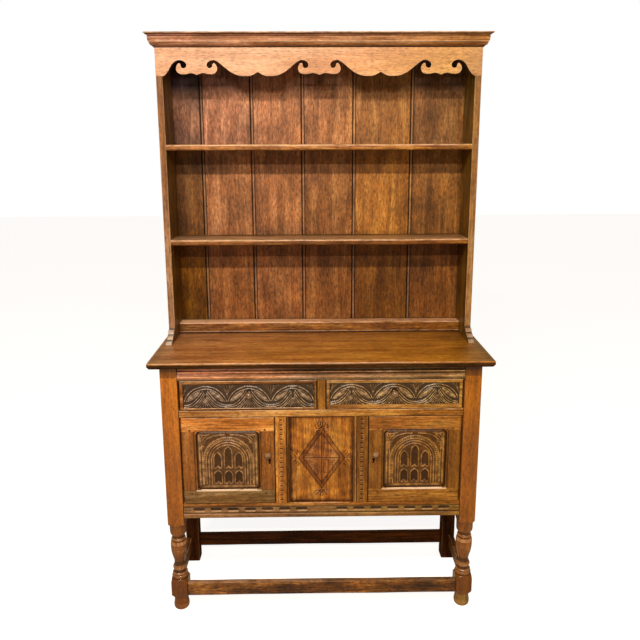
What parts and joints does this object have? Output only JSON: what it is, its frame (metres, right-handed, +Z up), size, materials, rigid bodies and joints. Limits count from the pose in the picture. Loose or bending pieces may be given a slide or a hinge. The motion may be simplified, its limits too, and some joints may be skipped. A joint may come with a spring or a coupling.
{
  "type": "kitchen dresser",
  "caption": "Oak kitchen dresser: open plate rack with a pierced frieze and shelves, on a carved cupboard base with drawers, doors and turned front legs.",
  "frame": {"origin": "on the floor, under the middle of the worktop", "axes": "+Z up, the front with the drawers and doors faces -Y, +X is the viewer's right"},
  "size_m": [1.0834, 0.415, 1.886],
  "materials": {
    "honey_oak": "waxed oak, honey brown",
    "brown_oak": "waxed oak, mid brown",
    "carved_oak": "carved oak with dark stain in the ground",
    "raw_oak": "bare oak inside the carcass",
    "knob_oak": "turned and polished oak",
    "iron": "dark forged iron"
  },
  "bodies": {
    "cabinet": {"worktop": "brown_oak", "front_leg_left": "honey_oak", "front_leg_right": "honey_oak", "rear_leg_left": "brown_oak", "rear_leg_right": "brown_oak", "front_stretcher": "brown_oak", "rear_stretcher": "brown_oak", "side_stretcher_left": "brown_oak", "side_stretcher_right": "brown_oak", "top_rail": "honey_oak", "drawer_rail": "honey_oak", "drawer_divider": "honey_oak", "muntin_left": "honey_oak", "muntin_right": "honey_oak", "centre_panel": "honey_oak", "bottom_rail": "honey_oak", "bottom_moulding": "honey_oak", "end_panel_left": "brown_oak", "end_panel_right": "brown_oak", "base_back": "raw_oak", "cupboard_floor": "raw_oak", "drawer_runner_left": "raw_oak", "drawer_runner_centre": "raw_oak", "drawer_runner_right": "raw_oak", "door_pin_left_top": "iron", "door_pin_left_bottom": "iron", "door_pin_right_top": "iron", "door_pin_right_bottom": "iron", "rack_side_left": "brown_oak", "rack_side_right": "brown_oak", "rack_shelf_lower": "brown_oak", "rack_shelf_upper": "brown_oak", "rack_bottom_rail": "brown_oak", "rack_top_board": "brown_oak", "rack_backboard_1": "brown_oak", "rack_backboard_2": "brown_oak", "rack_backboard_3": "brown_oak", "rack_backboard_4": "brown_oak", "rack_backboard_5": "brown_oak", "rack_backboard_6": "brown_oak", "rack_frieze": "honey_oak", "rack_cornice": "honey_oak"},
    "drawer_left": {"drawer_front_left": "carved_oak", "drawer_box_left": "raw_oak", "drawer_bottom_left": "raw_oak", "drawer_knob_left": "knob_oak"},
    "drawer_right": {"drawer_front_right": "carved_oak", "drawer_box_right": "raw_oak", "drawer_bottom_right": "raw_oak", "drawer_knob_right": "knob_oak"},
    "door_left": {"door_frame_left": "honey_oak", "door_panel_left": "carved_oak", "door_knob_left": "knob_oak", "door_lock_left": "iron"},
    "door_right": {"door_frame_right": "honey_oak", "door_panel_right": "carved_oak", "door_knob_right": "knob_oak", "door_lock_right": "iron"},
    "bolt_left": {"lock_bolt_left": "iron"},
    "bolt_right": {"lock_bolt_right": "iron"}
  },
  "joints": [
    {"name": "drawer_left_slide", "type": "slide", "parent": "cabinet", "child": "drawer_left", "axis": [0, -1, 0], "range_m": [0, 0.24]},
    {"name": "drawer_right_slide", "type": "slide", "parent": "cabinet", "child": "drawer_right", "axis": [0, -1, 0], "range_m": [0, 0.24]},
    {"name": "door_left_hinge", "type": "hinge", "parent": "cabinet", "child": "door_left", "pos_m": [-0.441, -0.1435, 0.547], "axis": [0, 0, -1], "range_deg": [0, 95]},
    {"name": "door_right_hinge", "type": "hinge", "parent": "cabinet", "child": "door_right", "pos_m": [0.441, -0.1435, 0.547], "axis": [0, 0, 1], "range_deg": [0, 95]},
    {"name": "bolt_left_throw", "type": "slide", "parent": "door_left", "child": "bolt_left", "axis": [1, 0, 0], "range_m": [0, 0.008]},
    {"name": "bolt_right_throw", "type": "slide", "parent": "door_right", "child": "bolt_right", "axis": [-1, 0, 0], "range_m": [0, 0.008]}
  ]
}
